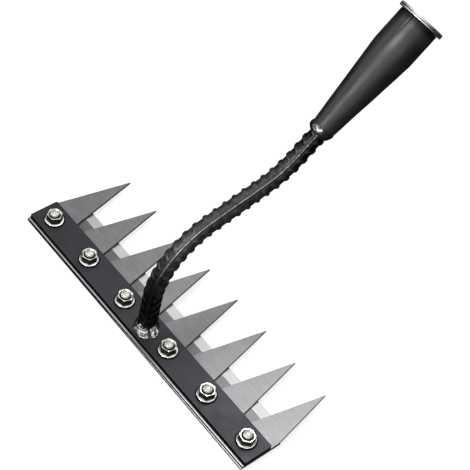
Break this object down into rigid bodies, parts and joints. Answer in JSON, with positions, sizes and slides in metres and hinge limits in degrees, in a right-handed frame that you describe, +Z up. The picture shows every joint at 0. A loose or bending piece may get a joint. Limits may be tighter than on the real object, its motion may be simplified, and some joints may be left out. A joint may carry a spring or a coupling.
{
  "type": "weeding rake",
  "caption": "Steel weeding rake head: a pointed tooth plate and a hoe blade bolted under a flat bar, with a bent ribbed bar neck and a tapered handle socket.",
  "frame": {"origin": "middle of the underside of the whole head's box, level with the undersides of the bolt heads", "axes": "+X along the clamp bar, +Y the way the teeth point and the socket leans, +Z up from the clamp bar's top face"},
  "size_m": [0.3164, 0.2914, 0.28],
  "materials": {
    "black_paint": "satin black paint, worn bright on edges and ribs",
    "sheet_steel": "brushed",
    "zinc": "bright zinc plate",
    "weld_metal": "as welded, partly under paint"
  },
  "bodies": {
    "root": {"clamp_bar": "black_paint", "tooth_plate": "sheet_steel", "hoe_blade": "sheet_steel", "hex_bolt_1": "zinc", "hex_bolt_2": "zinc", "hex_bolt_3": "zinc", "hex_bolt_4": "zinc", "hex_bolt_5": "zinc", "hex_bolt_6": "zinc", "flange_nut_1": "zinc", "flange_nut_2": "zinc", "flange_nut_3": "zinc", "flange_nut_4": "zinc", "flange_nut_5": "zinc", "flange_nut_6": "zinc", "neck_rod": "black_paint", "neck_weld": "weld_metal", "socket_weld": "weld_metal", "handle_socket": "black_paint", "socket_ring": "black_paint"}
  },
  "joints": []
}
